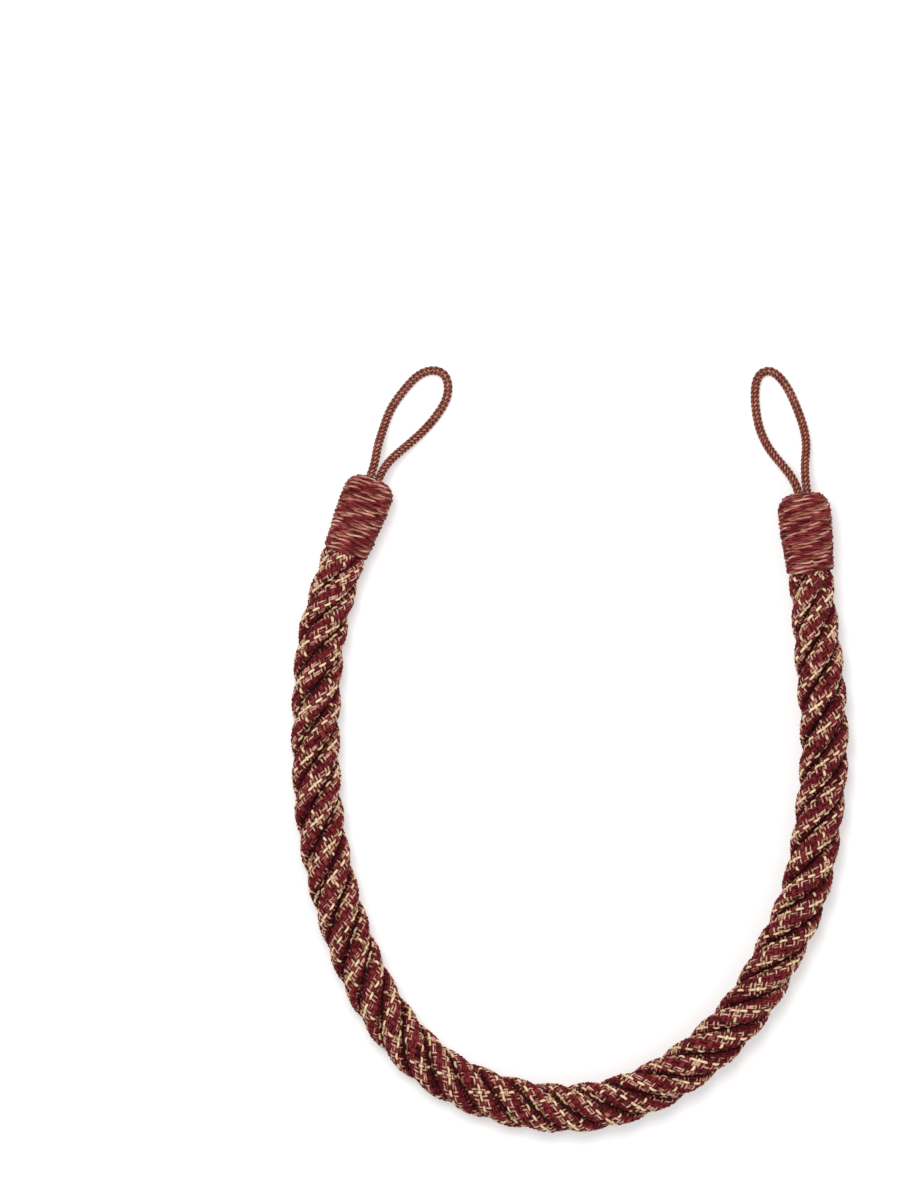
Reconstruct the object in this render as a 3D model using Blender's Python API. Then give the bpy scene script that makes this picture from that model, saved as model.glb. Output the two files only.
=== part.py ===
"""Twisted rope curtain tieback, lying flat and bent into a U.

Four cloth-covered strands are laid up into one thick rope. Each end of the rope
is bound in a yarn-wound cap, and a thin braided loop comes out of each cap's top.
Metres, +Z up. The tieback rests on z = 0 with the U's mouth and its loops towards +Y,
and the origin is under the middle of the whole piece.
"""
import math

import bpy
import numpy as np
from mathutils import Vector

# ---------------------------------------------------------------- sizes, metres
GAP = 0.0003                 # between pieces that touch

ROPE_RADIUS = 0.0125         # over the crowns of the strands
STRANDS = 4
LAY_LENGTH = 0.0745          # one full turn of a strand, right-handed
LAY_START = 0.0048           # where along the rope a groove first faces up
STRAND_FACE = 0.56           # radius of a strand's outer face, as a share of the rope's
NECK_RADIUS = 0.0114         # of the rope where it comes out of a cap
NECK_REACH = 0.050           # over which it swells to its full size
BOUND_RADIUS = 0.0100        # of the rope squeezed inside a cap
ROPE_AXIS_HEIGHT = 0.0119    # a little less than the radius: the strands rest on flats

CAP_LENGTH = 0.0400
CAP_BORE = BOUND_RADIUS + GAP
CAP_AXIS_HEIGHT = 0.0127
DOME_HEIGHT = 0.0090         # the top of the cap that closes over the rope's end
EYE_RADIUS = 0.0047          # hole in the dome for the two legs of the loop
CAP_WALL_AT_EYE = 0.0020
ROPE_END_BELOW_TOP = 0.0098
LOOP_END_BELOW_TOP = 0.0084

LOOP_RADIUS = 0.0020
LOOP_HEIGHT = LOOP_RADIUS    # of its centre where it lies on the surface
LEG_OFFSET = LOOP_RADIUS + 0.6 * GAP

ROPE_RING_POINTS = 24
ROPE_RING_STEP = 0.0058
CAP_RING_POINTS = 32
LOOP_POINT_STEP = 0.0042

# ---------------------------------------------------------------- routes, metres
# Each cap: the middle of its mouth and the top of its dome, in plan.
LEFT_CAP = ((-0.1123, 0.0984), (-0.0980, 0.1353))
RIGHT_CAP = ((0.1202, 0.0888), (0.1162, 0.1290))

# The rope's centre in plan, from the left cap's mouth round to the right cap's.
ROPE_ROUTE = [
    (-0.1182, 0.0800), (-0.1234, 0.0600), (-0.1266, 0.0300), (-0.1272, 0.0000), (-0.1250, -0.0350),
    (-0.1193, -0.0650), (-0.1104, -0.0950), (-0.0938, -0.1300), (-0.0805, -0.1475), (-0.0600, -0.1640),
    (-0.0400, -0.1730), (-0.0200, -0.1780), (0.0000, -0.1794), (0.0200, -0.1767), (0.0400, -0.1695),
    (0.0600, -0.1573), (0.0820, -0.1370), (0.0928, -0.1228), (0.1051, -0.1000), (0.1143, -0.0800),
    (0.1201, -0.0600), (0.1242, -0.0350), (0.1272, 0.0000), (0.1258, 0.0300), (0.1229, 0.0600),
    (0.1214, 0.0750),
]

# Each loop's centre: plan position and height, from its left leg round to its right one.
LEFT_LOOP_ROUTE = [
    (-0.0976, 0.1440, 0.0115), (-0.0965, 0.1500, 0.0094), (-0.0937, 0.1600, 0.0045),
    (-0.0899, 0.1700, 0.0022), (-0.0831, 0.1800, LOOP_HEIGHT), (-0.0776, 0.1860, LOOP_HEIGHT),
    (-0.0700, 0.1898, LOOP_HEIGHT), (-0.0634, 0.1882, LOOP_HEIGHT), (-0.0610, 0.1820, LOOP_HEIGHT),
    (-0.0626, 0.1740, LOOP_HEIGHT), (-0.0649, 0.1700, LOOP_HEIGHT), (-0.0730, 0.1600, 0.0023),
    (-0.0841, 0.1500, 0.0060), (-0.0920, 0.1420, 0.0105),
]
RIGHT_LOOP_ROUTE = [
    (0.1109, 0.1360, 0.0114), (0.1004, 0.1500, 0.0053), (0.0956, 0.1600, 0.0025),
    (0.0935, 0.1700, LOOP_HEIGHT), (0.0931, 0.1800, LOOP_HEIGHT), (0.0940, 0.1850, LOOP_HEIGHT),
    (0.0961, 0.1883, LOOP_HEIGHT), (0.1000, 0.1896, LOOP_HEIGHT), (0.1050, 0.1868, LOOP_HEIGHT),
    (0.1099, 0.1800, LOOP_HEIGHT), (0.1144, 0.1700, LOOP_HEIGHT), (0.1176, 0.1600, 0.0029),
    (0.1185, 0.1520, 0.0052), (0.1178, 0.1440, 0.0084), (0.1177, 0.1370, 0.0112),
]


# ---------------------------------------------------------------- helpers
def clear_scene():
    for obj in list(bpy.data.objects):
        bpy.data.objects.remove(obj, do_unlink=True)


def material(name, color, roughness):
    mat = bpy.data.materials.new(name)
    mat.use_nodes = True
    shader = mat.node_tree.nodes["Principled BSDF"]
    shader.inputs["Base Color"].default_value = (*color, 1.0)
    shader.inputs["Roughness"].default_value = roughness
    shader.inputs["Metallic"].default_value = 0.0
    mat.diffuse_color = (*color, 1.0)
    return mat


def add_mesh(name, verts, faces, mat):
    mesh = bpy.data.meshes.new(name)
    mesh.from_pydata([tuple(v) for v in verts], [], faces)
    mesh.validate()
    mesh.shade_smooth()
    mesh.set_sharp_from_angle(angle=math.radians(50))
    mesh.materials.append(mat)
    obj = bpy.data.objects.new(name, mesh)
    bpy.context.collection.objects.link(obj)
    return obj


def smooth_curve(points, step):
    """Natural cubic spline through the points, read again at even steps of about `step`."""
    pts = np.array(points, float)
    chord = np.concatenate([[0.0], np.cumsum(np.linalg.norm(np.diff(pts, axis=0), axis=1))])
    gaps = np.diff(chord)
    count = len(pts)
    system = np.eye(count)
    right = np.zeros_like(pts)
    for i in range(1, count - 1):
        system[i, i - 1:i + 2] = (gaps[i - 1], 2 * (gaps[i - 1] + gaps[i]), gaps[i])
        right[i] = 6 * ((pts[i + 1] - pts[i]) / gaps[i] - (pts[i] - pts[i - 1]) / gaps[i - 1])
    bend = np.linalg.solve(system, right)

    def at(where):
        i = np.clip(np.searchsorted(chord, where) - 1, 0, count - 2)
        h = gaps[i][:, None]
        b = (where - chord[i])[:, None] / h
        a = 1 - b
        curve = a * pts[i] + b * pts[i + 1]
        return curve + h * h / 6 * ((a ** 3 - a) * bend[i] + (b ** 3 - b) * bend[i + 1])

    fine = at(np.linspace(0, chord[-1], 40 * count))
    run = np.concatenate([[0.0], np.cumsum(np.linalg.norm(np.diff(fine, axis=0), axis=1))])
    wanted = np.linspace(0, run[-1], int(round(run[-1] / step)) + 1)
    even = np.stack([np.interp(wanted, run, fine[:, k]) for k in range(3)], 1)
    return [Vector(point) for point in even.tolist()], wanted.tolist()


def cap_frame(cap):
    """Mouth, direction to the dome and sideways direction of a cap, at its axis height."""
    mouth = Vector((*cap[0], CAP_AXIS_HEIGHT))
    top = Vector((*cap[1], CAP_AXIS_HEIGHT))
    along = (top - mouth).normalized()
    side = along.cross(Vector((0, 0, 1)))
    return mouth, along, side


def smoothstep(value):
    value = min(max(value, 0.0), 1.0)
    return value * value * (3 - 2 * value)


# ---------------------------------------------------------------- rope
def lobe(angle):
    """Radius of the four-lobed section at an angle from a groove, for a rope of radius 1."""
    spread = 2 * math.pi / STRANDS
    off_crown = (angle % spread) - spread / 2
    centre = 1 - STRAND_FACE
    return centre * math.cos(off_crown) + math.sqrt(STRAND_FACE ** 2 - (centre * math.sin(off_crown)) ** 2)


def rope_radius(distance, length, bound):
    """Squeezed inside the caps, narrow at their mouths and full size in between."""
    outside = min(distance, length - distance) - bound
    if outside < 0:
        return BOUND_RADIUS
    neck = BOUND_RADIUS + (NECK_RADIUS - BOUND_RADIUS) * smoothstep(outside / 0.006)
    return neck + (ROPE_RADIUS - NECK_RADIUS) * smoothstep((outside - 0.004) / NECK_REACH)


def rope_points():
    """The rope's centre from its end inside the left cap to its end inside the right one."""
    bound = CAP_LENGTH - ROPE_END_BELOW_TOP
    points = []
    for cap in (LEFT_CAP, RIGHT_CAP):
        mouth, along, _ = cap_frame(cap)
        points.append([mouth + along * reach for reach in (bound, bound / 2, 0.0)])
    middle = []
    for x, y in ROPE_ROUTE:
        to_cap = min((Vector((x, y)) - Vector(cap[0])).length for cap in (LEFT_CAP, RIGHT_CAP))
        rise = (CAP_AXIS_HEIGHT - ROPE_AXIS_HEIGHT) * (1 - smoothstep(to_cap / 0.05))
        middle.append(Vector((x, y, ROPE_AXIS_HEIGHT + rise)))
    return points[0] + middle + points[1][::-1], bound


def make_rope(mat):
    route, bound = rope_points()
    centres, distances = smooth_curve(route, ROPE_RING_STEP)
    length = distances[-1]
    verts = []
    for i, (centre, distance) in enumerate(zip(centres, distances)):
        before, after = centres[max(i - 1, 0)], centres[min(i + 1, len(centres) - 1)]
        ahead = (after - before).normalized()
        side = ahead.cross(Vector((0, 0, 1))).normalized()
        up = side.cross(ahead)
        turn = 2 * math.pi * (distance - LAY_START) / LAY_LENGTH
        radius = rope_radius(distance, length, bound)
        for j in range(ROPE_RING_POINTS):
            angle = 2 * math.pi * j / ROPE_RING_POINTS
            reach = radius * lobe(angle)
            point = centre + reach * (math.cos(angle + turn) * up + math.sin(angle + turn) * side)
            point.z = max(point.z, 0.0)
            verts.append(point)
    faces = []
    rings = len(centres)
    for i in range(rings - 1):
        low, high = i * ROPE_RING_POINTS, (i + 1) * ROPE_RING_POINTS
        for j in range(ROPE_RING_POINTS):
            k = (j + 1) % ROPE_RING_POINTS
            a, b, c, d = low + j, low + k, high + k, high + j
            if (verts[a] - verts[c]).length < (verts[b] - verts[d]).length:
                faces += [(a, b, c), (a, c, d)]
            else:
                faces += [(a, b, d), (b, c, d)]
    faces.append(tuple(range(ROPE_RING_POINTS))[::-1])
    faces.append(tuple(range((rings - 1) * ROPE_RING_POINTS, rings * ROPE_RING_POINTS)))
    return add_mesh("rope", verts, faces, mat)


# ---------------------------------------------------------------- caps
def cap_profile(mouth_radius, belly_radius):
    """(height, radius) round the cap's wall: up the outside, in at the eye, down the bore."""
    shoulder = CAP_LENGTH - DOME_HEIGHT
    outer = [(0.0, mouth_radius - 0.0007), (0.0012, mouth_radius), (0.010, 0.6 * mouth_radius + 0.4 * belly_radius),
             (0.021, belly_radius), (shoulder, belly_radius)]
    for degrees in (22, 42, 58, 72):
        turn = math.radians(degrees)
        reach = belly_radius - EYE_RADIUS
        outer.append((shoulder + DOME_HEIGHT * math.sin(turn), EYE_RADIUS + reach * math.cos(turn)))
    outer.append((CAP_LENGTH, EYE_RADIUS + 0.0012))
    inner = [(CAP_LENGTH - 0.0008, EYE_RADIUS), (CAP_LENGTH - CAP_WALL_AT_EYE, EYE_RADIUS)]
    inner_dome = DOME_HEIGHT - CAP_WALL_AT_EYE
    for degrees in (60, 30, 0):
        turn = math.radians(degrees)
        reach = CAP_BORE - EYE_RADIUS
        inner.append((shoulder + inner_dome * math.sin(turn), EYE_RADIUS + reach * math.cos(turn)))
    inner.append((0.0, CAP_BORE))
    return outer + inner


def make_cap(name, cap, mouth_radius, belly_radius, mat):
    mouth, along, side = cap_frame(cap)
    up = side.cross(along)
    profile = cap_profile(mouth_radius, belly_radius)
    verts = []
    for height, radius in profile:
        for j in range(CAP_RING_POINTS):
            angle = 2 * math.pi * j / CAP_RING_POINTS
            point = mouth + along * height + radius * (math.cos(angle) * up + math.sin(angle) * side)
            point.z = max(point.z, 0.0)
            verts.append(point)
    faces = []
    for i in range(len(profile)):
        low, high = i * CAP_RING_POINTS, ((i + 1) % len(profile)) * CAP_RING_POINTS
        for j in range(CAP_RING_POINTS):
            k = (j + 1) % CAP_RING_POINTS
            faces.append((low + j, low + k, high + k, high + j))
    return add_mesh(name, verts, faces, mat)


# ---------------------------------------------------------------- hanging loops
def make_loop(name, cap, route, mat):
    mouth, along, side = cap_frame(cap)
    legs = []
    for sign in (-1, 1):
        leg = [mouth + along * (CAP_LENGTH + reach) + side * LEG_OFFSET * sign
               for reach in (-LOOP_END_BELOW_TOP, -LOOP_END_BELOW_TOP / 2, 0.0)]
        legs.append(leg)
    points, _ = smooth_curve(legs[0] + [Vector(p) for p in route] + legs[1][::-1], LOOP_POINT_STEP)
    curve = bpy.data.curves.new(name, "CURVE")
    curve.dimensions = "3D"
    curve.bevel_depth = LOOP_RADIUS
    curve.bevel_resolution = 2
    curve.use_fill_caps = True
    spline = curve.splines.new("POLY")
    spline.points.add(len(points) - 1)
    for slot, point in zip(spline.points, points):
        point.z = max(point.z, LOOP_HEIGHT)
        slot.co = (*point, 1.0)
    spline.use_smooth = True
    curve.materials.append(mat)
    obj = bpy.data.objects.new(name, curve)
    bpy.context.collection.objects.link(obj)
    return obj


# ---------------------------------------------------------------- build
def build():
    clear_scene()
    rope_cloth = material("rope_cloth", (0.24, 0.055, 0.050), 0.85)
    cap_yarn = material("cap_yarn", (0.26, 0.055, 0.055), 0.85)
    loop_cord = material("loop_cord", (0.30, 0.105, 0.075), 0.80)
    make_rope(rope_cloth)
    make_cap("cap_left", LEFT_CAP, 0.0119, 0.0131, cap_yarn)
    make_cap("cap_right", RIGHT_CAP, 0.0122, 0.0136, cap_yarn)
    make_loop("loop_left", LEFT_CAP, LEFT_LOOP_ROUTE, loop_cord)
    make_loop("loop_right", RIGHT_CAP, RIGHT_LOOP_ROUTE, loop_cord)


build()
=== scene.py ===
"""Twisted rope curtain tieback, lying flat and bent into a U.

The rope has four strands. Each is wrapped in a chunky plain-woven check of thick
burgundy yarns, pairs of fine space-dyed ends and single cream yarns, on a dark core.
Each end is bound in a cap wound from marled three-ply yarn, and a thin braided
loop comes out of the cap's top. Every yarn, ply and braid carrier is a tube of its own.
Metres, +Z up, in the frame of the CAD model.
"""
import math

import bpy
import numpy as np
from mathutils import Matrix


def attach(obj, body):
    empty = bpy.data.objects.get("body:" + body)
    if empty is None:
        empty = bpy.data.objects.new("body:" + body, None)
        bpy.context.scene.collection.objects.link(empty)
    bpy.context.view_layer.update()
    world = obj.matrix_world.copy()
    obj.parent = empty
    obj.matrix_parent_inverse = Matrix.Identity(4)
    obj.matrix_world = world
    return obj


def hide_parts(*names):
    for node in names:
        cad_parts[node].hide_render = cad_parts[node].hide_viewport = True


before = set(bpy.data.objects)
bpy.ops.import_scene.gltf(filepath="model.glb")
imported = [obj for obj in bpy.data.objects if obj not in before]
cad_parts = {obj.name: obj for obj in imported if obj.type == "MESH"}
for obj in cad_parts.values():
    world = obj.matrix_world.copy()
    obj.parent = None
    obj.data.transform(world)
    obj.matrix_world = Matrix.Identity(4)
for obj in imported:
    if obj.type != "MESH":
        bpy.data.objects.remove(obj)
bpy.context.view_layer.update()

# ---------------------------------------------------------------- sizes, as in the CAD
GAP = 0.0003                 # between pieces that touch
ROPE_RADIUS = 0.0125         # over the crowns of the strands
STRANDS = 4
LAY_LENGTH = 0.0745          # one full turn of a strand, right-handed
LAY_START = 0.0048           # where along the rope a groove first faces up
NECK_RADIUS = 0.0114         # of the rope where it comes out of a cap
NECK_REACH = 0.050           # over which it swells to its full size
ROPE_AXIS_HEIGHT = 0.0119
CAP_LENGTH = 0.0400
CAP_AXIS_HEIGHT = 0.0127
DOME_HEIGHT = 0.0090
ROPE_END_BELOW_TOP = 0.0098
LOOP_END_BELOW_TOP = 0.0084
LOOP_RADIUS = 0.0020
LOOP_HEIGHT = LOOP_RADIUS    # of its centre where it lies on the surface
LEG_OFFSET = LOOP_RADIUS + 0.6 * GAP
BOUND_LENGTH = CAP_LENGTH - ROPE_END_BELOW_TOP   # of the rope's ends inside the caps

LEFT_CAP = ((-0.1123, 0.0984), (-0.0980, 0.1353))
RIGHT_CAP = ((0.1202, 0.0888), (0.1162, 0.1290))

ROPE_ROUTE = [
    (-0.1182, 0.0800), (-0.1234, 0.0600), (-0.1266, 0.0300), (-0.1272, 0.0000), (-0.1250, -0.0350),
    (-0.1193, -0.0650), (-0.1104, -0.0950), (-0.0938, -0.1300), (-0.0805, -0.1475), (-0.0600, -0.1640),
    (-0.0400, -0.1730), (-0.0200, -0.1780), (0.0000, -0.1794), (0.0200, -0.1767), (0.0400, -0.1695),
    (0.0600, -0.1573), (0.0820, -0.1370), (0.0928, -0.1228), (0.1051, -0.1000), (0.1143, -0.0800),
    (0.1201, -0.0600), (0.1242, -0.0350), (0.1272, 0.0000), (0.1258, 0.0300), (0.1229, 0.0600),
    (0.1214, 0.0750),
]

LEFT_LOOP_ROUTE = [
    (-0.0976, 0.1440, 0.0115), (-0.0965, 0.1500, 0.0094), (-0.0937, 0.1600, 0.0045),
    (-0.0899, 0.1700, 0.0022), (-0.0831, 0.1800, LOOP_HEIGHT), (-0.0776, 0.1860, LOOP_HEIGHT),
    (-0.0700, 0.1898, LOOP_HEIGHT), (-0.0634, 0.1882, LOOP_HEIGHT), (-0.0610, 0.1820, LOOP_HEIGHT),
    (-0.0626, 0.1740, LOOP_HEIGHT), (-0.0649, 0.1700, LOOP_HEIGHT), (-0.0730, 0.1600, 0.0023),
    (-0.0841, 0.1500, 0.0060), (-0.0920, 0.1420, 0.0105),
]
RIGHT_LOOP_ROUTE = [
    (0.1109, 0.1360, 0.0114), (0.1004, 0.1500, 0.0053), (0.0956, 0.1600, 0.0025),
    (0.0935, 0.1700, LOOP_HEIGHT), (0.0931, 0.1800, LOOP_HEIGHT), (0.0940, 0.1850, LOOP_HEIGHT),
    (0.0961, 0.1883, LOOP_HEIGHT), (0.1000, 0.1896, LOOP_HEIGHT), (0.1050, 0.1868, LOOP_HEIGHT),
    (0.1099, 0.1800, LOOP_HEIGHT), (0.1144, 0.1700, LOOP_HEIGHT), (0.1176, 0.1600, 0.0029),
    (0.1185, 0.1520, 0.0052), (0.1178, 0.1440, 0.0084), (0.1177, 0.1370, 0.0112),
]

# ---------------------------------------------------------------- sizes of the cloth
CLOTH_MIDDLE = 0.0010        # depth of the cloth's middle surface below the strand's crown
COVER_RADIUS = 0.0056        # of that surface, round each strand
STRAND_CENTRE = ROPE_RADIUS - CLOTH_MIDDLE - COVER_RADIUS   # from the rope's axis
GROOVE_HALF_WIDTH = 0.0014   # from that surface to the middle of a groove
CORE_RADIUS = COVER_RADIUS - 0.0009
BOUND_SQUEEZE = 0.0090       # the rope's radius where a cap grips it
HELIX = math.atan(2 * math.pi * (ROPE_RADIUS - CLOTH_MIDDLE) / LAY_LENGTH)

CHECK = 0.0098               # across the warp, from one cream end to the next
WARP_LEAN = math.atan(2 * CHECK * math.cos(HELIX) / LAY_LENGTH)   # two checks drift past a lay
WEFT_LEAN = math.radians(119.6)      # direction of the picks, from the strand's
CLOTH_RISE = 0.00056         # how far a yarn rises over a crossing and dips under the next
GROOVE_SHADE_REACH = 0.0048  # over which painted shade darkens the cloth towards a groove's bottom
GROOVE_OPENS_OVER = 0.055    # from a cap, whose grip presses the grooves shut
CREAM_LIFT = 0.00015         # of the cream ends above the rest of the warp
SHORTEST_RUN = 3             # rings of a yarn, below which a piece of it is left out
HIDDEN_IN_CAP = 0.004        # of the cloth, beyond a cap's mouth

CAP_STARTS = 2               # yarns wound side by side round a cap
CAP_PITCH = 0.0024           # between neighbouring rows of a cap's winding
CAP_EYE = 0.0045             # radius of the opening in a dome
WINDING_DEPTH = 0.00110      # of a wound yarn's middle below the cap's surface
PLY_TURN = 0.0165            # of yarn, for one turn of its plies
PLY_OUT = 0.00036            # a ply's swing out from the middle of its yarn
PLY_ALONG = 0.00076          # and its swing along the cap
PLY_HALF_WIDTHS = (0.00080, 0.00070, 0.00060)    # burgundy, rose and tan
PLY_HALF_DEPTH = 0.00062

BRAID_LEAD = 0.0134          # one turn of a carrier round a loop
BRAID_CARRIERS = 6           # each way
BRAID_RADIUS = 0.00176       # of the carriers' middles, round the loop's centre
BRAID_RISE = 0.00020         # of a carrier over another
BRAID_HALF_WIDTH = 0.00054
BRAID_HALF_DEPTH = 0.00036

# A yarn's paleness runs from about 0 in the deepest painted shade to about 1 where it is palest. Much of
# it is painted light and shade, and the rest is the yarn's own unevenness.
SIDE_SHADE = 0.60            # painted shade: how much darker a yarn is at its sides and underneath
GROOVE_PAINTED_SHADE = 0.08           # painted shade: the paleness of a cover yarn at the bottom of a groove
CROWN_PAINTED_LIGHT = 0.66        # and how much painted light makes it paler on a strand's crown
SHUT_BRIGHTER = 0.75         # share of a groove's painted shade that is taken off where a cap presses it shut
BURGUNDY_HEIGHT_SHADE = 0.16 # painted shade between a burgundy yarn's high and middle level
FINE_HEIGHT_SHADE = 0.30     # the same painted shade for rose and cream yarns
YARN_TO_YARN = 0.34          # most that one piece of yarn is paler than another

rng = np.random.default_rng(41)


# ---------------------------------------------------------------- curves
def unit(vectors):
    return vectors / np.linalg.norm(vectors, axis=-1, keepdims=True)


def smoothstep(value):
    value = np.clip(value, 0.0, 1.0)
    return value * value * (3 - 2 * value)


def smooth_curve(points, step):
    """Natural cubic spline through the points, read again at even steps of about `step`."""
    pts = np.array(points, float)
    chord = np.concatenate([[0.0], np.cumsum(np.linalg.norm(np.diff(pts, axis=0), axis=1))])
    gaps = np.diff(chord)
    count = len(pts)
    system = np.eye(count)
    right = np.zeros_like(pts)
    for i in range(1, count - 1):
        system[i, i - 1:i + 2] = (gaps[i - 1], 2 * (gaps[i - 1] + gaps[i]), gaps[i])
        right[i] = 6 * ((pts[i + 1] - pts[i]) / gaps[i] - (pts[i] - pts[i - 1]) / gaps[i - 1])
    bend = np.linalg.solve(system, right)

    def at(where):
        i = np.clip(np.searchsorted(chord, where) - 1, 0, count - 2)
        h = gaps[i][:, None]
        b = (where - chord[i])[:, None] / h
        a = 1 - b
        curve = a * pts[i] + b * pts[i + 1]
        return curve + h * h / 6 * ((a ** 3 - a) * bend[i] + (b ** 3 - b) * bend[i + 1])

    fine = at(np.linspace(0, chord[-1], 40 * count))
    run = np.concatenate([[0.0], np.cumsum(np.linalg.norm(np.diff(fine, axis=0), axis=1))])
    wanted = np.linspace(0, run[-1], int(round(run[-1] / step)) + 1)
    even = np.stack([np.interp(wanted, run, fine[:, k]) for k in range(3)], 1)
    return even, wanted


class Route:
    """A smooth centreline with its directions ahead, sideways and up."""

    def __init__(self, points, step=0.0010):
        self.places, self.distances = smooth_curve(points, step)
        self.length = self.distances[-1]
        ahead = unit(np.gradient(self.places, axis=0))
        side = unit(np.cross(ahead, (0, 0, 1)))
        self.rows = np.concatenate([self.places, ahead, side, np.cross(side, ahead)], 1)

    def at(self, distance):
        rows = [np.interp(distance, self.distances, column) for column in self.rows.T]
        place, ahead, side, up = np.split(np.stack(rows, -1), 4, axis=-1)
        return place, ahead, side, up


def cap_frame(cap):
    """Mouth, direction to the dome and sideways direction of a cap, at its axis height."""
    mouth = np.array((*cap[0], CAP_AXIS_HEIGHT))
    along = unit(np.array((*cap[1], CAP_AXIS_HEIGHT)) - mouth)
    return mouth, along, np.cross(along, (0, 0, 1))


def rope_points():
    """The rope's centre from its end inside the left cap to its end inside the right one."""
    ends = []
    for cap in (LEFT_CAP, RIGHT_CAP):
        mouth, along, _ = cap_frame(cap)
        ends.append([mouth + along * reach for reach in (BOUND_LENGTH, BOUND_LENGTH / 2, 0.0)])
    middle = []
    for place in ROPE_ROUTE:
        to_cap = min(math.dist(place, cap[0]) for cap in (LEFT_CAP, RIGHT_CAP))
        rise = (CAP_AXIS_HEIGHT - ROPE_AXIS_HEIGHT) * (1 - smoothstep(to_cap / 0.05))
        middle.append((*place, ROPE_AXIS_HEIGHT + rise))
    return ends[0] + middle + ends[1][::-1]


def loop_points(cap, route):
    """A loop's centre, from one leg inside its cap round to the other."""
    mouth, along, side = cap_frame(cap)
    legs = []
    for sign in (-1, 1):
        legs.append([mouth + along * (CAP_LENGTH + reach) + side * LEG_OFFSET * sign
                     for reach in (-LOOP_END_BELOW_TOP, -LOOP_END_BELOW_TOP / 2, 0.0)])
    return legs[0] + route + legs[1][::-1]


def wander(where, spacing, size):
    """Small seeded unevenness along a yarn, with a bend every `spacing`."""
    knots = np.arange(where.min() - spacing, where.max() + 2 * spacing, spacing)
    return np.interp(where, knots, rng.uniform(-size, size, len(knots)))


def flecks(where, spacing, share):
    """1 along the paler stretches of a space-dyed yarn and 0 along the darker ones."""
    cell = where / spacing + rng.random()
    first = int(math.floor(cell.min()))
    dyed = (rng.random(int(cell.max()) - first + 2) < share).astype(float)
    return np.interp(cell, first + np.arange(len(dyed)), dyed)


def rest_on_floor(places, softness=0.0008):
    """Presses flat whatever would go through the surface that the piece lies on."""
    z = places[..., 2]
    places[..., 2] = np.where(z < softness, softness * np.exp(np.minimum(z, softness) / softness - 1), z)
    return places


def link_object(name, data):
    obj = bpy.data.objects.new(name, data)
    bpy.context.collection.objects.link(obj)
    return obj


def ring_faces(rings, ring_points, closed):
    """Quads between neighbouring rings of points, and from the last to the first if closed."""
    faces = []
    for i in range(rings if closed else rings - 1):
        low, high = i * ring_points, ((i + 1) % rings) * ring_points
        for j in range(ring_points):
            k = (j + 1) % ring_points
            faces.append((low + j, low + k, high + k, high + j))
    return faces


def smooth_mesh(name, verts, faces, mat):
    mesh = bpy.data.meshes.new(name)
    mesh.from_pydata(verts.tolist(), [], faces)
    mesh.shade_smooth()
    mesh.materials.append(mat)
    return link_object(name, mesh)


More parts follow.
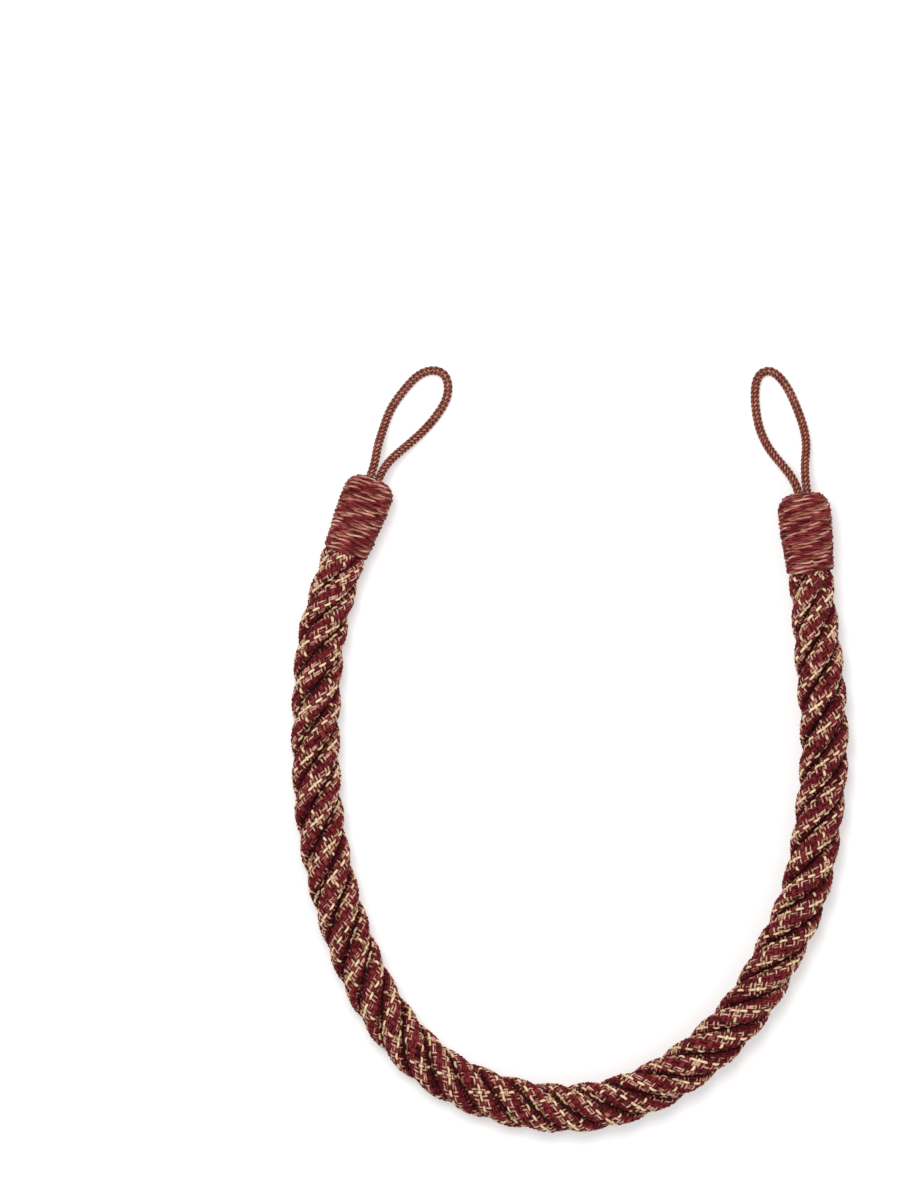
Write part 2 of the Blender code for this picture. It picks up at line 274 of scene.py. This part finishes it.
# ---------------------------------------------------------------- yarns
class Yarns:
    """Gathers yarns, each a flattened tube along a row of places, into one mesh."""

    def __init__(self):
        self.verts, self.corners, self.sizes, self.slots, self.maps, self.tones_and_shades = [], [], [], [], [], []
        self.count = 0

    def add(self, places, outward, half_width, half_depth, slot, sides=6, tone_and_shade=0.5):
        rings = len(places)
        ahead = unit(np.gradient(places, axis=0))
        side = unit(np.cross(ahead, outward))
        up = np.cross(side, ahead)
        angle = 2 * math.pi * np.arange(sides) / sides
        wide = np.broadcast_to(half_width, rings)[:, None, None] * np.cos(angle)[:, None]
        deep = np.broadcast_to(half_depth, rings)[:, None, None] * np.sin(angle)[:, None]
        verts = places[:, None] + wide * side[:, None] + deep * up[:, None]
        self.verts.append(rest_on_floor(verts.reshape(-1, 3)))

        i, k = np.meshgrid(np.arange(rings - 1), np.arange(sides), indexing="ij")
        near, far = i * sides, (i + 1) * sides
        after = (k + 1) % sides
        quads = np.stack([near + k, far + k, far + after, near + after], -1).reshape(-1)
        ends = np.concatenate([np.arange(sides), (rings - 1) * sides + np.arange(sides)[::-1]])
        self.corners.append(np.concatenate([quads, ends]) + self.count)
        self.sizes.append(np.concatenate([np.full((rings - 1) * sides, 4), [sides, sides]]))
        self.slots.append(np.full((rings - 1) * sides + 2, slot))
        # Painted shade: a yarn is darker at its sides and underneath, where its neighbours would shade
        # it.
        shade = 0.5 * SIDE_SHADE * (1 - np.sin(angle))
        self.tones_and_shades.append((np.broadcast_to(tone_and_shade, rings)[:, None] - shade).ravel())
        self.count += rings * sides

        run = np.concatenate([[0.0], np.cumsum(np.linalg.norm(np.diff(places, axis=0), axis=1))])
        along = np.stack([run[i], run[i + 1], run[i + 1], run[i]], -1).reshape(-1)
        around = np.stack([k, k, k + 1, k + 1], -1).reshape(-1) / sides
        flat_ends = np.stack([np.repeat(run[[0, -1]], sides), np.tile(np.arange(sides) / sides, 2)], 1)
        self.maps.append(np.concatenate([np.stack([along, around], 1), flat_ends]))

    def mesh(self, name, materials):
        corners, sizes = np.concatenate(self.corners), np.concatenate(self.sizes)
        mesh = bpy.data.meshes.new(name)
        mesh.vertices.add(self.count)
        mesh.vertices.foreach_set("co", np.concatenate(self.verts).astype(np.float32).ravel())
        mesh.loops.add(len(corners))
        mesh.loops.foreach_set("vertex_index", corners.astype(np.int32))
        mesh.polygons.add(len(sizes))
        starts = np.concatenate([[0], np.cumsum(sizes)[:-1]])
        mesh.polygons.foreach_set("loop_start", starts.astype(np.int32))
        mesh.polygons.foreach_set("loop_total", sizes.astype(np.int32))
        mesh.polygons.foreach_set("material_index", np.concatenate(self.slots).astype(np.int32))
        layer = mesh.uv_layers.new(name="yarn")
        layer.uv.foreach_set("vector", np.concatenate(self.maps).astype(np.float32).ravel())
        tone_and_shade = mesh.attributes.new("tone_and_shade", "FLOAT", "POINT")
        tone_and_shade.data.foreach_set("value", np.concatenate(self.tones_and_shades).astype(np.float32))
        for mat in materials:
            mesh.materials.append(mat)
        mesh.update(calc_edges=True)
        mesh.shade_smooth()
        return link_object(name, mesh)


# ---------------------------------------------------------------- materials
class Shader:
    """A Principled material, with short calls for the nodes that feed it."""

    def __init__(self, name, roughness=0.8, specular=0.5):
        self.material = bpy.data.materials.new(name)
        self.material.use_nodes = True
        self.tree = self.material.node_tree
        self.surface = self.tree.nodes["Principled BSDF"]
        self.surface.inputs["Roughness"].default_value = roughness
        self.surface.inputs["Specular IOR Level"].default_value = specular

    def put(self, value, socket):
        if isinstance(value, bpy.types.NodeSocket):
            self.tree.links.new(value, socket)
        else:
            socket.default_value = value

    def add(self, kind, inputs=(), **settings):
        node = self.tree.nodes.new(kind)
        for key, value in settings.items():
            setattr(node, key, value)
        for key, value in dict(inputs).items():
            self.put(value, node.inputs[key])
        return node

    def math(self, operation, *values):
        return self.add("ShaderNodeMath", dict(enumerate(values)), operation=operation).outputs[0]

    def noise(self, vector, scale, detail=2.0):
        inputs = {"Vector": vector, "Scale": scale, "Detail": detail}
        return self.add("ShaderNodeTexNoise", inputs).outputs["Fac"]

    def ramp(self, factor, stops):
        node = self.add("ShaderNodeValToRGB", {"Fac": factor})
        ramp = node.color_ramp
        while len(ramp.elements) < len(stops):
            ramp.elements.new(0.5)
        for element, (place, color) in zip(ramp.elements, stops):
            element.position = place
            element.color = (*color, 1)
        return node.outputs["Color"]

    def finish(self, color, height, bump_depth, roughness=None):
        self.put(color, self.surface.inputs["Base Color"])
        if roughness is not None:
            self.put(roughness, self.surface.inputs["Roughness"])
        bump = self.add("ShaderNodeBump", {"Height": height, "Distance": bump_depth, "Strength": 0.7})
        self.put(bump.outputs["Normal"], self.surface.inputs["Normal"])
        return self.material


def yarn_material(name, stops, ply_turn, plies):
    """Spun yarn: plies that twist round it, fibre streaks along them and uneven dye, with the painted
    light and shade that each piece of yarn carries, and ply crests painted paler.
    """
    shader = Shader(name, specular=0.12)
    uv = shader.add("ShaderNodeUVMap", uv_map="yarn").outputs["UV"]
    split = shader.add("ShaderNodeSeparateXYZ", {"Vector": uv})
    along, around = split.outputs["X"], split.outputs["Y"]
    tone_and_shade = shader.add("ShaderNodeAttribute", attribute_name="tone_and_shade").outputs["Fac"]
    place = shader.add("ShaderNodeTexCoord").outputs["Object"]

    twist = shader.math("MULTIPLY_ADD", along, 1 / ply_turn, shader.math("MULTIPLY", around, plies))
    ridge = shader.math("PINGPONG", twist, 0.5)
    streaks = shader.add("ShaderNodeCombineXYZ", {
        "X": shader.math("MULTIPLY", along, 260),
        "Y": shader.math("MULTIPLY", twist, 5),
        "Z": shader.math("MULTIPLY", tone_and_shade, 40),
    }).outputs["Vector"]
    fibre = shader.noise(streaks, 1.0)
    dye = shader.noise(place, 240, 1.0)
    mixed = shader.math("MULTIPLY_ADD", fibre, 0.95, shader.math("MULTIPLY", dye, 0.40))
    # Painted highlight: the crests of the twisted plies are painted paler than the hollows between them.
    # Each yarn's own painted light and shade is added next.
    mixed = shader.math("MULTIPLY_ADD", ridge, 0.30, mixed)
    mixed = shader.math("MULTIPLY_ADD", tone_and_shade, 0.60, shader.math("SUBTRACT", mixed, 0.69))
    height = shader.math("MULTIPLY_ADD", fibre, 0.4, shader.math("MULTIPLY", ridge, 1.2))
    roughness = shader.math("MULTIPLY_ADD", fibre, 0.25, 0.66)
    return shader.finish(shader.ramp(mixed, stops), height, 0.00025, roughness)


def core_material(name, darkest, palest):
    """Filler that shows only at the bottom of the grooves and between yarns."""
    shader = Shader(name, specular=0.2)
    place = shader.add("ShaderNodeTexCoord").outputs["Object"]
    fibre = shader.noise(place, 900, 3.0)
    color = shader.ramp(fibre, [(0.3, darkest), (0.7, palest)])
    return shader.finish(color, fibre, 0.0003, shader.math("MULTIPLY_ADD", fibre, 0.2, 0.75))


def floor_material():
    """White board, lit a little from within so that the shadows on it stay pale."""
    shader = Shader("pale_floor", specular=0.2)
    place = shader.add("ShaderNodeTexCoord").outputs["Object"]
    grain = shader.noise(place, 400, 2.0)
    color = shader.ramp(grain, [(0.2, (0.78, 0.78, 0.78)), (0.8, (0.80, 0.80, 0.80))])
    mat = shader.finish(color, grain, 0.00002)
    surface = mat.node_tree.nodes["Principled BSDF"]
    surface.inputs["Emission Color"].default_value = (1.0, 1.0, 1.0, 1.0)
    surface.inputs["Emission Strength"].default_value = 0.30
    return mat


# ---------------------------------------------------------------- rope
def cover_section():
    """One side of a strand's cloth, cut across the rope: from the crown out and into the
    groove. x runs outward from the rope's axis and y sideways; `across` is the distance
    over the cloth, measured square to the strand."""
    turn_in = math.radians(62)
    angle = np.linspace(0, turn_in, 24)
    x, y = STRAND_CENTRE + COVER_RADIUS * np.cos(angle), COVER_RADIUS * np.sin(angle)
    # The cloth then bends to run inward beside the next strand's, half a gap from the middle.
    inward = np.array((-1, -1)) / math.sqrt(2)
    tangent = np.array((-math.sin(turn_in), math.cos(turn_in)))
    start = np.array((x[-1], y[-1]))
    to_neighbour = (start[0] - start[1]) / math.sqrt(2) - GROOVE_HALF_WIDTH
    corner = start + tangent * to_neighbour / (tangent @ np.array((-1, 1)) * math.sqrt(0.5))
    finish = corner + inward * 0.0018
    share = np.linspace(0, 1, 14)[1:, None]
    bend = (1 - share) ** 2 * start + 2 * share * (1 - share) * corner + share ** 2 * finish
    deep = finish + inward * np.linspace(0, 0.0004, 3)[1:, None]
    x = np.concatenate([x, bend[:, 0], deep[:, 0]])
    y = np.concatenate([y, bend[:, 1], deep[:, 1]])
    steps = np.hypot(np.diff(x), math.cos(HELIX) * np.diff(y))
    return np.concatenate([[0.0], np.cumsum(steps)]), x, y


SECTION_ACROSS, SECTION_X, SECTION_Y = cover_section()
COVER_HALF = SECTION_ACROSS[-1]
rope_route = Route(rope_points())


def rope_scale(distance):
    """The rope's radius at a distance along it, as a share of its full one."""
    outside = np.minimum(distance, rope_route.length - distance) - BOUND_LENGTH
    neck = BOUND_SQUEEZE + (NECK_RADIUS - BOUND_SQUEEZE) * smoothstep(outside / 0.005 + 0.35)
    radius = neck + (ROPE_RADIUS - NECK_RADIUS) * smoothstep((outside - 0.004) / NECK_REACH)
    return radius / ROPE_RADIUS


def on_rope(distance, turn, x, y):
    """World places of points x outward and y sideways in the rope's section, turned by `turn`."""
    place, _, side, up = rope_route.at(distance)
    angle = 2 * math.pi * (distance - LAY_START) / LAY_LENGTH + turn
    toward_up = x * np.cos(angle) - y * np.sin(angle)
    toward_side = x * np.sin(angle) + y * np.cos(angle)
    return place + toward_up[:, None] * up + toward_side[:, None] * side


def on_cover(turn, along, across):
    """World places on a strand's cloth, and the rope distance of each."""
    x = np.interp(np.abs(across), SECTION_ACROSS, SECTION_X)
    y = np.interp(np.abs(across), SECTION_ACROSS, SECTION_Y) * np.sign(across)
    distance = along * math.cos(HELIX) - y * math.cos(HELIX) * math.sin(HELIX)
    scale = rope_scale(distance)
    return on_rope(distance, turn, x * scale, y * scale), distance


def cover_normal(turn, along, across):
    """Outward directions of a strand's cloth."""
    step = 0.0002
    ahead = on_cover(turn, along + step, across)[0] - on_cover(turn, along - step, across)[0]
    beside = on_cover(turn, along, across + step)[0] - on_cover(turn, along, across - step)[0]
    return unit(np.cross(beside, ahead))


def make_core(mat):
    """The strands' filling: the rope's own lobed shape, just under the cloth."""
    ring_points = 40
    distances = np.arange(0, rope_route.length + 0.001, 0.0022)
    angle = np.linspace(0, 2 * math.pi, ring_points, endpoint=False)
    off_crown = angle % (math.pi / 2) - math.pi / 4
    sideways = STRAND_CENTRE * np.sin(off_crown)
    reach = STRAND_CENTRE * np.cos(off_crown) + np.sqrt(CORE_RADIUS ** 2 - sideways ** 2)
    rings = []
    for distance in distances:
        s = np.full(ring_points, distance)
        scale = rope_scale(s)
        rings.append(on_rope(s, 0.0, reach * np.cos(angle) * scale, reach * np.sin(angle) * scale))
    verts = rest_on_floor(np.concatenate(rings))
    faces = ring_faces(len(distances), ring_points, closed=False)
    last = (len(distances) - 1) * ring_points
    faces.append(tuple(range(ring_points))[::-1])
    faces.append(tuple(range(last, last + ring_points)))
    return smooth_mesh("rope_core", verts, faces, mat)


# Yarns across one check of the warp: middle, half width, half depth, sides, colour and
# 1 for an odd thread. Even threads pass over the rose picks and under the others, and
# odd ones the reverse.
BURGUNDY, ROSE, CREAM = 0, 1, 2
WARP = [
    (0.0000, 0.00064, 0.00050, 6, CREAM, 0),
    (0.00158, 0.00044, 0.00044, 4, ROSE, 1),
    (0.00266, 0.00044, 0.00044, 4, ROSE, 1),
    (0.00414, 0.00078, 0.00060, 4, BURGUNDY, 0),
    (0.00566, 0.00078, 0.00060, 4, BURGUNDY, 0),
    (0.00714, 0.00044, 0.00044, 4, ROSE, 1),
    (0.00822, 0.00044, 0.00044, 4, ROSE, 1),
]
# The warp as the picks meet it: the middle of each group of yarns, and 1 for an odd group.
WARP_GROUPS = [(0.0, 0), (0.00214, 1), (0.0049, 0), (0.00766, 1)]
# The yarns of each kind of pick: offset, half width, half depth, sides, colour.
PICK_SHAPES = {
    BURGUNDY: [(0.0, 0.00132, 0.00060, 6, BURGUNDY)],
    ROSE: [(-0.00102, 0.00047, 0.00046, 4, ROSE), (0.0, 0.00044, 0.00042, 4, BURGUNDY),
           (0.00102, 0.00047, 0.00046, 4, ROSE)],
    CREAM: [(0.0, 0.00072, 0.00050, 6, CREAM)],
}
WARP_ROSE_SHARE = 0.55       # of the fine ends' length that is dyed rose and not burgundy
PICK_ROSE_SHARE = 0.85
UNDYED_SHADE = 0.75          # how much darker the rest is, in steps of a yarn's tone
WARP_STEPS = {6: 0.00105, 4: 0.00115}    # between the rings of a yarn with that many sides
WEFT_STEPS = {6: 0.00090, 4: 0.00105}


def pick_list(length):
    """Middle and kind of each group of picks along the cloth: rose pairs turn about with
    burgundy ones, and every third or fourth burgundy one is a fine cream one instead."""
    picks = []
    place, since_cream, wait = 0.0, 0, 3
    while place < length:
        picks.append((place + 0.00165 + rng.uniform(-0.0002, 0.0002), ROSE))
        place += 0.0033
        since_cream += 1
        if since_cream >= wait:
            picks.append((place + 0.00095, CREAM))
            place += 0.0019
            since_cream, wait = 0, 7 - wait
        else:
            picks.append((place + 0.00155, BURGUNDY))
            place += 0.0031
    return picks


def weave(where, middles, over):
    """+1 where a yarn is over a crossing and -1 where under, with an even swing between."""
    count = len(middles)
    i = np.clip(np.searchsorted(middles, where) - 1, 0, count - 2)
    share = np.clip((where - middles[i]) / (middles[i + 1] - middles[i]), 0, 1)
    level = np.where(over, 1.0, -1.0)
    swing = smoothstep(share)
    return level[i] * (1 - swing) + level[i + 1] * swing


def cloth_to_strand(warp_way, weft_way):
    """Cloth coordinates, along the warp and along the weft, to along and across the strand."""
    along = warp_way * math.cos(WARP_LEAN) + weft_way * math.cos(WEFT_LEAN)
    across = warp_way * math.sin(WARP_LEAN) + weft_way * math.sin(WEFT_LEAN)
    return along, across


def runs(inside):
    """Start and stop of each run of True."""
    edges = np.flatnonzero(np.diff(np.concatenate([[0], inside.astype(int), [0]])))
    return edges.reshape(-1, 2)


def cover_yarn(yarns, turn, warp_way, weft_way, lift, half_width, half_depth, slot, sides, dyed):
    """Lays one yarn on a strand, wherever it is on the outside of it and between the caps."""
    along, across = cloth_to_strand(warp_way, weft_way)
    distance = along * math.cos(HELIX)
    from_cap = np.minimum(distance, rope_route.length - distance) - BOUND_LENGTH
    inside = (np.abs(across) < COVER_HALF) & (from_cap > -HIDDEN_IN_CAP)
    for start, stop in runs(inside):
        if stop - start < SHORTEST_RUN:
            continue
        part = slice(start, stop)
        places, from_end = on_cover(turn, along[part], across[part])
        outward = cover_normal(turn, along[part], across[part])
        size = 1 + wander(along[part], 0.008, 0.10)
        places = places + outward * lift[part, None]
        # Painted shade: the cloth is painted darker towards the bottom of a groove and paler on a
        # strand's crown. Near a cap, where the grip presses the grooves shut, most of that painted shade
        # is taken away.
        depth = smoothstep((COVER_HALF - np.abs(across[part]) - 0.0004) / GROOVE_SHADE_REACH)
        outside = np.minimum(from_end, rope_route.length - from_end) - BOUND_LENGTH
        shut = 1 - smoothstep(outside / GROOVE_OPENS_OVER)
        depth = depth + SHUT_BRIGHTER * shut * (1 - depth)
        # Painted shade where a yarn dips under a crossing and painted light where it rides over one. The
        # random unevenness added next is the yarn's own.
        height_shade = BURGUNDY_HEIGHT_SHADE if slot == BURGUNDY else FINE_HEIGHT_SHADE
        tone_and_shade = GROOVE_PAINTED_SHADE + CROWN_PAINTED_LIGHT * depth + height_shade * lift[part] / CLOTH_RISE
        tone_and_shade = tone_and_shade + wander(along[part], 0.006, 0.18) + rng.uniform(0.0, YARN_TO_YARN)
        if slot == ROSE:
            tone_and_shade = tone_and_shade - UNDYED_SHADE * (1 - dyed[part])
        yarns.add(places, outward, half_width * size, half_depth * size, slot, sides, tone_and_shade)


def make_cover(name, turn, first_cream, materials):
    """The woven cloth round one strand. `first_cream` shifts the check across it."""
    yarns = Yarns()
    strand_length = rope_route.length / math.cos(HELIX)
    weft_square = math.sin(WEFT_LEAN - WARP_LEAN)
    picks = pick_list(strand_length * 1.05)
    pick_middles = np.array([place for place, _ in picks])
    rose_pick = np.array([kind == ROSE for _, kind in picks])

    # Warp: lines that lean a little more than the strand does, from one groove to the other.
    drift = strand_length * math.sin(WARP_LEAN)
    for check in range(-int(drift / CHECK) - 2, 3):
        for middle, half_width, half_depth, sides, slot, odd in WARP:
            square = check * CHECK + first_cream + middle
            weft_way = square / weft_square
            warp_way = np.arange(0.0, strand_length * 1.05, WARP_STEPS[sides])
            lift = CLOTH_RISE * weave(warp_way, pick_middles, rose_pick ^ bool(odd))
            if slot == CREAM:
                lift = lift + CREAM_LIFT
            sideways = wander(warp_way, 0.005, 0.00030) / weft_square
            dyed = flecks(warp_way, 0.0032, WARP_ROSE_SHARE)
            cover_yarn(yarns, turn, warp_way, weft_way + sideways, lift,
                       half_width, half_depth, slot, sides, dyed)

    # Weft: short picks from groove to groove.
    groups = []
    reach = COVER_HALF / math.sin(WEFT_LEAN) + 0.002
    for check in range(-int(drift / CHECK) - 4, 5):
        for middle, odd in WARP_GROUPS:
            groups.append(((check * CHECK + first_cream + middle) / weft_square, odd))
    group_middles = np.array([place for place, _ in groups])
    group_odd = np.array([bool(odd) for _, odd in groups])
    for place, kind in picks:
        for offset, half_width, half_depth, sides, slot in PICK_SHAPES[kind]:
            warp_way = place + offset
            middle = -warp_way * math.sin(WARP_LEAN) / math.sin(WEFT_LEAN)
            weft_way = np.arange(middle - reach, middle + reach, WEFT_STEPS[sides])
            over = group_odd if kind == ROSE else ~group_odd
            lift = CLOTH_RISE * weave(weft_way, group_middles, over)
            if kind == CREAM:
                lift = 1.6 * lift - 0.45 * CLOTH_RISE
            uneven = wander(weft_way, 0.005, 0.00028)
            dyed = flecks(weft_way, 0.0030, PICK_ROSE_SHARE)
            cover_yarn(yarns, turn, warp_way + uneven, weft_way, lift,
                       half_width, half_depth, slot, sides, dyed)
    return yarns.mesh(name, materials)


# ---------------------------------------------------------------- caps
def cap_wall(mouth_radius, belly_radius, inset):
    """Height and radius up the outside of a cap and over its dome, `inset` below the surface."""
    shoulder = CAP_LENGTH - DOME_HEIGHT
    rows = [(0.0002, mouth_radius - inset), (0.010, 0.6 * mouth_radius + 0.4 * belly_radius - inset),
            (0.021, belly_radius - inset), (shoulder, belly_radius - inset)]
    for turn in np.radians(np.arange(10, 81, 10)):
        reach = belly_radius - inset - CAP_EYE
        rows.append((shoulder + (DOME_HEIGHT - inset) * math.sin(turn), CAP_EYE + reach * math.cos(turn)))
    return np.array(rows)


def make_winding(name, cap, mouth_radius, belly_radius, materials):
    """Marled yarn wound round a cap in two starts, from its mouth up and over its dome."""
    mouth, along, side = cap_frame(cap)
    up = np.cross(side, along)
    wall = cap_wall(mouth_radius, belly_radius, WINDING_DEPTH)
    run = np.concatenate([[0.0], np.cumsum(np.linalg.norm(np.diff(wall, axis=0), axis=1))])
    lead = CAP_STARTS * CAP_PITCH
    yarns = Yarns()
    for start in range(CAP_STARTS):
        angle = np.arange(-0.15, 2 * math.pi * run[-1] / lead, 0.0009 / belly_radius)
        travel = lead * angle / (2 * math.pi)
        rows = travel + wander(angle, 0.5, 0.00024)
        height = np.interp(rows, run, wall[:, 0])
        radius = np.interp(rows, run, wall[:, 1]) + wander(angle, 0.7, 0.00020)
        slope = unit(np.stack([np.gradient(height, travel), np.gradient(radius, travel)], 1))
        turn = angle + start * 2 * math.pi / CAP_STARTS
        out = np.cos(turn)[:, None] * up - np.sin(turn)[:, None] * side
        centre = mouth + along * height[:, None] + out * radius[:, None]
        # Outward from the wall, and along the wall towards the eye.
        outward = out * slope[:, :1] - along * slope[:, 1:]
        onward = along * slope[:, :1] + out * slope[:, 1:]
        length = np.concatenate([[0.0], np.cumsum(np.linalg.norm(np.diff(centre, axis=0), axis=1))])
        twist = 2 * math.pi * length / PLY_TURN + wander(length, 0.013, 1.3)
        for ply, half_width in enumerate(PLY_HALF_WIDTHS):
            phase = twist + ply * 2 * math.pi / len(PLY_HALF_WIDTHS)
            swing = PLY_OUT * np.cos(phase)[:, None] * outward
            offset = swing - PLY_ALONG * np.sin(phase)[:, None] * onward
            # Painted light and shade: a ply is paler where it swings out and darker where it turns in.
            # The flecks are its marl, and the unevenness is its own.
            tone_and_shade = 0.44 + 0.20 * np.cos(phase) + 0.46 * flecks(length, 0.0042, 0.5)
            tone_and_shade = tone_and_shade + wander(length, 0.004, 0.20)
            yarns.add(centre + offset, outward, half_width, PLY_HALF_DEPTH, ply, 5, tone_and_shade)
    return yarns.mesh(name, materials)


def make_cap_base(name, cap, mouth_radius, belly_radius, mat):
    """The plain body of a cap that its winding hides, open at the mouth and the eye."""
    mouth, along, side = cap_frame(cap)
    up = np.cross(side, along)
    outer = cap_wall(mouth_radius, belly_radius, 0.0014)
    inner = cap_wall(mouth_radius, belly_radius, 0.0022)[::-1]
    profile = np.concatenate([outer, inner])
    ring_points = 48
    angle = np.linspace(0, 2 * math.pi, ring_points, endpoint=False)
    out = np.cos(angle)[:, None] * up + np.sin(angle)[:, None] * side
    verts = np.concatenate([mouth + along * height + out * radius for height, radius in profile])
    faces = ring_faces(len(profile), ring_points, closed=True)
    return smooth_mesh(name, rest_on_floor(verts), faces, mat)


# ---------------------------------------------------------------- loops
def make_braid(name, route, materials):
    """Round diamond braid: carriers wind both ways and pass over and under each other."""
    yarns = Yarns()
    distance = np.arange(0.0, route.length, 0.00062)
    place, _, side, up = route.at(distance)
    rise = np.cos(2 * BRAID_CARRIERS * math.pi * distance / BRAID_LEAD)
    for way in (1, -1):
        for carrier in range(BRAID_CARRIERS):
            angle = way * 2 * math.pi * distance / BRAID_LEAD + 2 * math.pi * carrier / BRAID_CARRIERS
            outward = np.cos(angle)[:, None] * up + np.sin(angle)[:, None] * side
            radius = BRAID_RADIUS + way * BRAID_RISE * rise
            slot = 0 if way == 1 else 1
            # Painted shade: a carrier is darker where it dips under another and paler where it rises
            # over. The unevenness is its own.
            tone_and_shade = 0.62 + 0.3 * way * rise + wander(distance, 0.006, 0.25)
            centre = place + outward * radius[:, None]
            yarns.add(centre, outward, BRAID_HALF_WIDTH, BRAID_HALF_DEPTH, slot, 5, tone_and_shade)
    return yarns.mesh(name, materials)


# ---------------------------------------------------------------- camera, light and floor
def make_camera():
    camera = bpy.data.cameras.new("camera")
    camera.lens = 180
    camera.sensor_width = 36
    camera.clip_end = 20
    obj = link_object("camera", camera)
    # Straight above, to the left of the piece, which lies in the lower right of the view.
    obj.location = (-0.0600, 0.07475, 3.0 + ROPE_RADIUS)
    bpy.context.scene.camera = obj


def make_lights():
    for name, place, size, energy in (
        ("key", (-0.32, 0.46, 1.55), 0.7, 15.0),
        ("fill", (0.80, -0.50, 1.20), 1.0, 3.5),
    ):
        light = bpy.data.lights.new(name, "AREA")
        light.shape = "SQUARE"
        light.size = size
        light.energy = energy
        obj = link_object(name, light)
        obj.location = place
        aim = -unit(np.array(place))
        obj.rotation_euler = (math.acos(-aim[2]), 0, math.atan2(-aim[0], aim[1]))
    world = bpy.data.worlds.new("studio")
    world.use_nodes = True
    world.node_tree.nodes["Background"].inputs["Color"].default_value = (1, 1, 1, 1)
    world.node_tree.nodes["Background"].inputs["Strength"].default_value = 0.55
    bpy.context.scene.world = world
    bpy.context.scene.view_settings.view_transform = "Standard"


def make_floor():
    mesh = bpy.data.meshes.new("floor")
    half = 4.0
    corners = [(-half, -half, 0), (half, -half, 0), (half, half, 0), (-half, half, 0)]
    mesh.from_pydata(corners, [], [(0, 1, 2, 3)])
    mesh.materials.append(floor_material())
    obj = link_object("floor", mesh)
    obj.location.z = -0.0002


# ---------------------------------------------------------------- build
def add_piece(obj):
    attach(obj, "root")
    return obj


def cover_materials():
    burgundy = yarn_material("burgundy_yarn", [
        (0.05, (0.034, 0.002, 0.004)), (0.5, (0.108, 0.006, 0.010)), (0.9, (0.250, 0.030, 0.034)),
    ], 0.0045, 2)
    rose = yarn_material("rose_yarn", [
        (0.05, (0.030, 0.003, 0.003)), (0.28, (0.130, 0.013, 0.013)), (0.50, (0.420, 0.150, 0.110)),
        (0.78, (0.820, 0.540, 0.400)),
    ], 0.0030, 2)
    cream = yarn_material("cream_yarn", [
        (0.05, (0.180, 0.080, 0.035)), (0.5, (0.680, 0.470, 0.260)), (0.9, (0.900, 0.740, 0.470)),
    ], 0.0028, 2)
    return [burgundy, rose, cream]


def cap_materials():
    tan = yarn_material("cap_tan_ply", [
        (0.10, (0.160, 0.030, 0.024)), (0.5, (0.480, 0.190, 0.130)), (0.9, (0.800, 0.550, 0.400)),
    ], 0.0050, 2)
    rose = yarn_material("cap_rose_ply", [
        (0.10, (0.060, 0.007, 0.008)), (0.5, (0.225, 0.040, 0.034)), (0.9, (0.480, 0.180, 0.140)),
    ], 0.0050, 2)
    burgundy = yarn_material("cap_burgundy_ply", [
        (0.10, (0.045, 0.004, 0.005)), (0.5, (0.180, 0.011, 0.017)), (0.9, (0.380, 0.065, 0.065)),
    ], 0.0050, 2)
    return [burgundy, rose, tan]


def braid_materials():
    tan = yarn_material("braid_tan", [
        (0.10, (0.160, 0.035, 0.024)), (0.5, (0.420, 0.155, 0.105)), (0.9, (0.700, 0.400, 0.290)),
    ], 0.0020, 1)
    brown = yarn_material("braid_brown", [
        (0.10, (0.036, 0.006, 0.004)), (0.5, (0.140, 0.027, 0.017)), (0.9, (0.280, 0.075, 0.052)),
    ], 0.0020, 1)
    return [tan, brown]


def build_rope():
    materials = cover_materials()
    core = core_material("core_cloth", (0.020, 0.004, 0.004), (0.060, 0.012, 0.012))
    for strand in range(STRANDS):
        turn = math.pi / 4 + strand * 2 * math.pi / STRANDS
        cover = make_cover(f"strand_{strand + 1}_cover", turn, rng.uniform(0, CHECK), materials)
        add_piece(cover)
    rope = add_piece(make_core(core))
    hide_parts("rope")


def build_ends():
    plies = cap_materials()
    carriers = braid_materials()
    cap_core = core_material("cap_core", (0.070, 0.007, 0.009), (0.150, 0.018, 0.020))
    for hand, cap, loop, mouth_radius, belly_radius in (
        ("left", LEFT_CAP, LEFT_LOOP_ROUTE, 0.0117, 0.0131),
        ("right", RIGHT_CAP, RIGHT_LOOP_ROUTE, 0.0122, 0.0136),
    ):
        winding = make_winding(f"cap_{hand}_winding", cap, mouth_radius, belly_radius, plies)
        add_piece(winding)
        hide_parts(f"cap_{hand}")
        add_piece(make_cap_base(f"cap_{hand}_base", cap, mouth_radius, belly_radius, cap_core))
        route = Route(loop_points(cap, loop), 0.0006)
        braid = add_piece(make_braid(f"loop_{hand}_braid", route, carriers))
        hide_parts(f"loop_{hand}")


make_camera()
make_lights()
make_floor()
build_rope()
build_ends()
